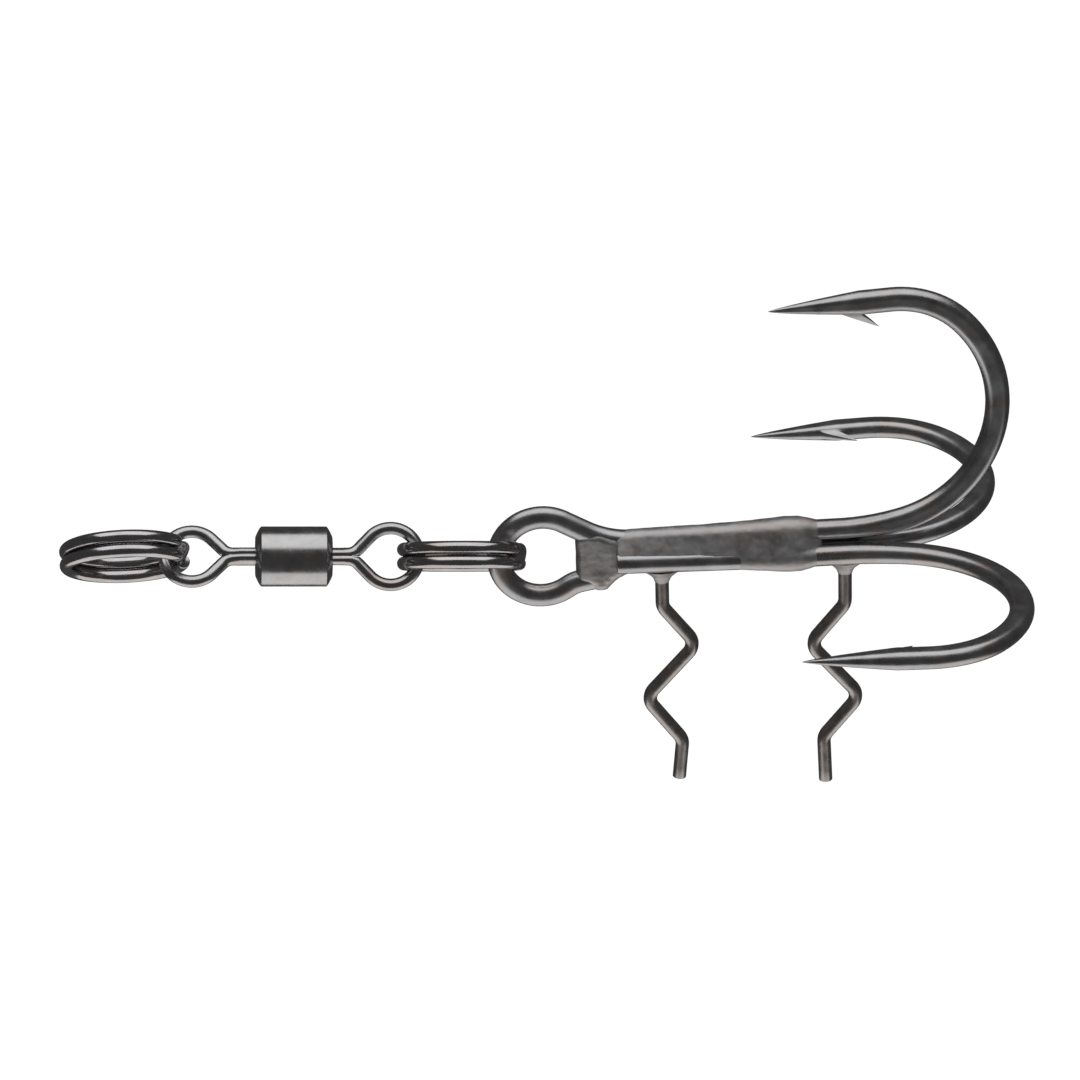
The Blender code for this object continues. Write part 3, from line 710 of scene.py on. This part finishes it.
class TREBLE_OT_hooks(bpy.types.Operator):
    """Add the three hooks: the top one carries the eye, the side ones lie in their own planes"""
    bl_idname = "treble.hooks"
    bl_label = "Hooks"
    bl_options = {'REGISTER', 'UNDO'}

    def execute(self, context):
        sizes = context.scene.treble_hook
        finish = finish_for("forged_steel")
        placed = hook_frame(context.scene)
        top = self.top(sizes)
        finished(top, "top_hook_wire", placed, "treble_body", "top_hook", finish)
        left = self.side(sizes, 1, sizes.left_bend)
        finished(left, "left_hook_wire", placed @ side_plane(sizes, 1), "treble_body",
                 "left_hook", finish)
        right = self.side(sizes, -1, sizes.right_bend)
        finished(right, "right_hook_wire", placed @ side_plane(sizes, -1), "treble_body",
                 "right_hook", finish)
        return {'FINISHED'}

    def top(self, sizes):
        """The wire from its cut end, round the eye and onto the shank."""
        leave = sizes.end_leave
        at = Vector((sizes.eye_along + sizes.eye * math.sin(leave),
                     sizes.eye_up - sizes.eye * math.cos(leave), 0))
        end_turn = leave - sizes.end_heading
        at, heading = arc(at, leave, sizes.end_return, -end_turn)
        at += Vector((math.cos(heading), math.sin(heading), 0)) * sizes.end_straight
        round_eye = (sizes.eye_width, sizes.eye_thick)
        round_wire = (sizes.wire, sizes.wire)
        wire = Wire(at[:2], heading + math.pi, *round_eye)
        wire.straight(sizes.end_straight, 3)
        wire.bend(sizes.end_return, end_turn, 5)
        wire.bend(sizes.eye, -(math.pi + leave + sizes.top_leave), 48)
        turn = sizes.top_leave
        fall = wire.end.y - sizes.top_up - sizes.top_return * (1 - math.cos(turn))
        wire.straight(fall / math.sin(turn), 3)
        wire.bend(sizes.top_return, turn, 8, shape=blend_to(round_eye, round_wire))
        return self.bend_and_point(wire, sizes, sizes.top_bend)

    def side(self, sizes, side, bend_start):
        """A hook drawn in its own plane, its wire splayed a little towards the eye."""
        ahead = sizes.splay_end - sizes.side_start
        wire = Wire((sizes.side_start, sizes.side_out + ahead * sizes.splay_out,
                     -side * ahead * sizes.splay_up), 0, sizes.wire, sizes.wire)
        steps = 5
        for _ in range(steps):
            wire.straight(ahead / steps)
            wire.move((0, -ahead / steps * sizes.splay_out, side * ahead / steps * sizes.splay_up))
        return self.bend_and_point(wire, sizes, bend_start)

    def bend_and_point(self, wire, sizes, bend_start):
        """Shank, forged bend, tapered point and barb."""
        wire.straight(bend_start - wire.end.x, 6)
        forged = (sizes.forged_width, sizes.forged_thick)
        steps = 5
        for k in range(steps):
            wire.bend(HOOK_BENDS[0][0] * MM, math.radians(HOOK_BENDS[0][1]) / steps, 1)
            part = (k + 1) / steps
            wire.section(sizes.wire + (forged[0] - sizes.wire) * part,
                         sizes.wire + (forged[1] - sizes.wire) * part)
            wire.flatten(sizes.wire + (sizes.flat - sizes.wire) * part)
        for radius, degrees in HOOK_BENDS[1:]:
            wire.bend(radius * MM, math.radians(degrees), round(degrees / 3.5))
        wire.straight(sizes.point - sizes.taper, 4)
        width, thick = wire.width, wire.thick

        def ground(part):
            left = max(POINT_BLUNT, (1 - part) ** POINT_CURVE)
            return width * left, thick * left

        wire.straight(sizes.taper, 24, shape=ground)
        tip, heading = wire.end.copy(), wire.heading
        wire.close_point()
        self.raise_barb(wire.obj, sizes, tip, heading)
        hook = wire.done()
        soften_caps(hook, HOOK_EDGE)
        return hook

    def raise_barb(self, obj, sizes, tip, heading):
        """Cut a sliver up from the inner side of the point, aimed back at the bend."""
        back = Vector((-math.cos(heading), -math.sin(heading), 0))
        inward = Vector((-math.sin(heading), math.cos(heading), 0))

        def on_root(face):
            gap = face.calc_center_median() - tip
            run = gap.dot(back)
            return (gap.length < 1.2 * sizes.barb_root and abs(gap.z) < BARB_HALF
                    and sizes.barb_root - 1.6 * MM < run < sizes.barb_root
                    and gap.dot(inward) > 0.2 * MM and face.normal.dot(inward) > 0.7)

        pick_faces(obj, on_root)
        root = sizes.barb_root - 0.8 * MM
        reach = sizes.barb_reach - root
        for share, narrow in ((0.45, 0.62), (0.55, 0.10)):
            step = back * reach * share + inward * sizes.barb_rise * share
            bpy.ops.mesh.extrude_region_move(TRANSFORM_OT_translate={"value": step})
            mesh = bmesh.from_edit_mesh(obj.data)
            chosen = [vert.co for vert in mesh.verts if vert.select]
            middle = sum(chosen, Vector()) / len(chosen)
            bpy.ops.transform.resize(value=(narrow, narrow, narrow), center_override=middle)


class TREBLE_OT_braze(bpy.types.Operator):
    """Add the filler round the shank and in the hook eye"""
    bl_idname = "treble.braze"
    bl_label = "Braze"
    bl_options = {'REGISTER', 'UNDO'}

    def execute(self, context):
        sizes = context.scene.treble_hook
        finish = finish_for("silver_braze")
        placed = hook_frame(context.scene)
        top = [Vector((at * MM, sizes.top_up, 0)) for at, *_ in BRAZE_SKIN]
        left, right = [[side_wire_at(sizes, at * MM, side) for at, *_ in BRAZE_SKIN]
                       for side in (1, -1)]
        over = [sizes.wire + skin * MM for _, skin, _, _ in BRAZE_SKIN]
        # the filler leaves the side wires bare until it swells at the rear
        under = [sizes.wire + skin * MM for _, _, skin, _ in BRAZE_SKIN]
        fill = [full for *_, full in BRAZE_SKIN]
        runs = [self.run(top, over), self.run(left, under), self.run(right, under)]
        for pair, radii in (((top, left), (over, under)), ((top, right), (over, under)),
                            ((left, right), (under, under))):
            for share in (k / 8 for k in range(1, 8)):
                middle = [a.lerp(b, share) for a, b in zip(*pair)]
                runs.append(self.run(middle, [
                    (a + (b - a) * share) * full for a, b, full in zip(*radii, fill)]))
        sleeve = join(runs)
        melt(sleeve, voxel=0.080 * MM, flow=16, lump_height=0.07 * MM, lump_size=1.3 * MM)
        finished(sleeve, "shank_braze_sleeve", placed, "treble_body", "shank_braze", finish)
        beads = [self.bead(*[value * MM for value in row]) for row in EYE_BEADS]
        web = join(beads)
        melt(web, voxel=0.075 * MM, flow=16, lump_height=0.08 * MM, lump_size=1.0 * MM)
        finished(web, "eye_braze_web", placed, "treble_body", "eye_braze", finish)
        return {'FINISHED'}

    def run(self, places, radii):
        """A run of filler along the shank through places, with a radius at each."""
        wire = Wire(places[0], 0, radii[0], radii[0], sides=32)
        for place, radius in zip(places[1:], radii[1:]):
            wire.straight(place.x - wire.end.x)
            wire.move(place - wire.end)
            wire.section(radius, radius)
        return wire.done()

    def bead(self, at, low, high, radius):
        """A short bead across the eye, with drawn in ends."""
        neck = radius * BEAD_NECK
        wire = Wire((at, low), math.pi / 2, neck, neck, sides=24)
        wire.straight(radius * 0.5, 1, shape=lambda part: (radius, radius))
        wire.straight(high - low - radius, 2)
        wire.straight(radius * 0.5, 1, shape=lambda part: (neck, neck))
        return wire.done()


class TREBLE_OT_bait_pins(bpy.types.Operator):
    """Add the two zigzag bait pins and the filler round their tops"""
    bl_idname = "treble.bait_pins"
    bl_label = "Bait Pins"
    bl_options = {'REGISTER', 'UNDO'}

    def execute(self, context):
        sizes = context.scene.treble_pin
        placed = hook_frame(context.scene)
        wire_finish = finish_for("bent_wire")
        for at, top, kinks, side in (
                (sizes.front_at, sizes.front_top, FRONT_PIN_KINKS, "front"),
                (sizes.rear_at, sizes.rear_top, REAR_PIN_KINKS, "rear")):
            pin = self.pin(sizes, at, top, kinks)
            finished(pin, side + "_bait_pin_wire", placed, "treble_body", side + "_bait_pin",
                     wire_finish)
        collar = self.collar(sizes)
        twin = copy_of(collar)
        filler = finish_for("silver_braze")
        for obj, at, top, side, turn in (
                (collar, sizes.front_at, sizes.front_top, "front", 0),
                (twin, sizes.rear_at, sizes.rear_top, "rear", 180)):
            there = placed @ Matrix.Translation((at, top, 0)) @ \
                Matrix.Rotation(math.radians(turn), 4, 'Y')
            finished(obj, side + "_pin_braze_collar", there, "treble_body", side + "_pin_braze",
                     filler)
        return {'FINISHED'}

    def pin(self, sizes, at, top, kinks):
        """Straights between the kinks, each kink spun at one radius."""
        corners = [Vector((at, top, 0))]
        corners += [Vector((at + off * MM, -down * MM, 0)) for down, off in kinks]
        headings = [math.atan2((b - a).y, (b - a).x) for a, b in zip(corners, corners[1:])]
        wire = Wire(corners[0][:2], headings[0], sizes.wire, sizes.wire, sides=20)
        for k, corner in enumerate(corners[1:]):
            last = k == len(headings) - 1
            turn = 0 if last else headings[k + 1] - headings[k]
            trim = sizes.bend * math.tan(abs(turn) / 2)
            wire.straight((corner - wire.end).length - trim, 3)
            if not last:
                wire.bend(sizes.bend, turn, max(3, round(abs(math.degrees(turn)) / 8)))
        pin = wire.done()
        soften_caps(pin, PIN_EDGE)
        return pin

    def collar(self, sizes):
        """Filler drawn up round a pin: wide under the shank, thin down the pin."""
        wide = sizes.wire + sizes.fillet
        wire = Wire((0, COLLAR_START), -math.pi / 2, wide, wide * (1 - COLLAR_NARROW), sides=32)
        steps = 10
        for k in range(1, steps + 1):
            left = 1 - k / steps
            radius = sizes.wire + 0.04 * MM + sizes.fillet * left ** COLLAR_CURVE
            wire.straight((sizes.fillet_length + COLLAR_START) / steps)
            wire.section(radius, radius * (1 - COLLAR_NARROW * left))
        collar = wire.done()
        melt(collar, voxel=0.06 * MM, flow=5, lump_height=0.08 * MM, lump_size=0.7 * MM)
        return collar


class TREBLE_OT_stage(bpy.types.Operator):
    """Add the white table and sweep, the soft lights and the camera"""
    bl_idname = "treble.stage"
    bl_label = "Stage"
    bl_options = {'REGISTER', 'UNDO'}

    def execute(self, context):
        scene, stage = context.scene, context.scene.treble_stage
        scene.view_settings.view_transform = 'Standard'
        right, up, back = camera_axes(stage)
        aim = camera_aim(stage)
        lens = bpy.data.cameras.new("camera")
        lens.sensor_width = 36.0
        lens.lens = 36.0 * stage.distance / stage.field
        lens.clip_start = 0.01
        camera = bpy.data.objects.new("camera", lens)
        camera.matrix_world = Matrix((right, up, back)).transposed().to_4x4()
        camera.location = aim + back * stage.distance
        scene.collection.objects.link(camera)
        scene.camera = camera
        # softbox overhead, from 31 to 94 degrees above the view; table from 66 to 135 below
        self.softbox(scene, "softbox", aim, camera_axes(stage), low=31, high=94,
                     distance=0.42, length=0.80, brightness=stage.key, tint=(1.0, 1.0, 1.0))
        self.softbox(scene, "table_light", aim, camera_axes(stage), low=-135, high=-66,
                     distance=0.42, length=0.90, brightness=stage.fill, tint=(1.0, 0.985, 0.965))
        world = bpy.data.worlds.new("studio")
        world.use_nodes = True
        surround = world.node_tree.nodes["Background"]
        surround.inputs["Color"].default_value = (1, 1, 1, 1)
        surround.inputs["Strength"].default_value = stage.room
        scene.world = world
        self.backdrop(scene, stage)
        return {'FINISHED'}

    def softbox(self, scene, name, aim, axes, low, high, distance, length, brightness, tint):
        """An area light that fills a range of angles above or below the view."""
        right, up, back = axes
        rise = math.radians((low + high) / 2)
        out = back * math.cos(rise) + up * math.sin(rise)
        light = bpy.data.lights.new(name, 'AREA')
        light.shape = 'RECTANGLE'
        light.size = length
        light.size_y = 2 * distance * math.tan(math.radians((high - low) / 2))
        light.energy = brightness * math.pi * light.size * light.size_y
        light.color = tint
        obj = bpy.data.objects.new(name, light)
        obj.matrix_world = Matrix((right, out.cross(right), out)).transposed().to_4x4()
        obj.location = aim + out * distance
        obj.visible_camera = False
        scene.collection.objects.link(obj)

    def backdrop(self, scene, stage):
        """A lit white floor under the hanging hook and a white sweep round it."""
        white = bpy.data.materials.new("lit_white_acrylic")
        white.use_nodes = True
        tree = white.node_tree
        tree.nodes.clear()
        glow = add_node(tree, 'ShaderNodeEmission', {
            "Color": (*scene.treble_finish.backdrop, 1), "Strength": BACKDROP_GLOW})
        add_node(tree, 'ShaderNodeOutputMaterial', {"Surface": glow.outputs["Emission"]})
        bpy.ops.object.select_all(action='DESELECT')
        bpy.ops.mesh.primitive_circle_add(
            vertices=96, radius=1.6, fill_type='NGON',
            location=(0, 0, cad_box[0].z - stage.floor_drop))
        floor = bpy.context.object
        floor.name = "floor"
        bpy.ops.mesh.primitive_uv_sphere_add(segments=64, ring_count=32, radius=1.7,
                                             location=(0, 0, cad_box[0].z))
        sweep = bpy.context.object
        sweep.name = "sweep"
        for obj in (floor, sweep):
            obj.data.materials.append(white)
            # they only close the view: reflections come from the lights and the surround
            obj.visible_glossy = False
            obj.visible_diffuse = False
            obj.visible_shadow = False


class TREBLE_PT_pieces(bpy.types.Panel):
    """Lists the pieces in the sidebar"""
    bl_idname = "TREBLE_PT_pieces"
    bl_label = "Treble Hook"
    bl_space_type = 'VIEW_3D'
    bl_region_type = 'UI'
    bl_category = "Treble"

    def draw(self, context):
        for operator in PIECES:
            self.layout.operator(operator.bl_idname)
        for name in GROUPS:
            group = getattr(context.scene, name)
            box = self.layout.box()
            for key in group.__annotations__:
                box.prop(group, key)


PIECES = (TREBLE_OT_split_rings, TREBLE_OT_swivel_eyes, TREBLE_OT_swivel_barrel,
          TREBLE_OT_hooks, TREBLE_OT_braze, TREBLE_OT_bait_pins, TREBLE_OT_stage)
GROUPS = {"treble_chain": ChainSizes, "treble_ring": RingSizes, "treble_swivel": SwivelSizes,
          "treble_hook": HookSizes, "treble_pin": PinSizes, "treble_finish": FinishSettings,
          "treble_stage": StageSettings}


def register():
    for name, group in GROUPS.items():
        bpy.utils.register_class(group)
        setattr(bpy.types.Scene, name, PointerProperty(type=group))
    for cls in PIECES + (TREBLE_PT_pieces,):
        bpy.utils.register_class(cls)


def unregister():
    for cls in reversed(PIECES + (TREBLE_PT_pieces,)):
        bpy.utils.unregister_class(cls)
    for name, group in reversed(GROUPS.items()):
        delattr(bpy.types.Scene, name)
        bpy.utils.unregister_class(group)


def main():
    register()
    bpy.ops.treble.split_rings()
    bpy.ops.treble.swivel_eyes()
    bpy.ops.treble.swivel_barrel()
    bpy.ops.treble.hooks()
    bpy.ops.treble.braze()
    bpy.ops.treble.bait_pins()
    bpy.ops.treble.stage()


if __name__ == "__main__":
    main()
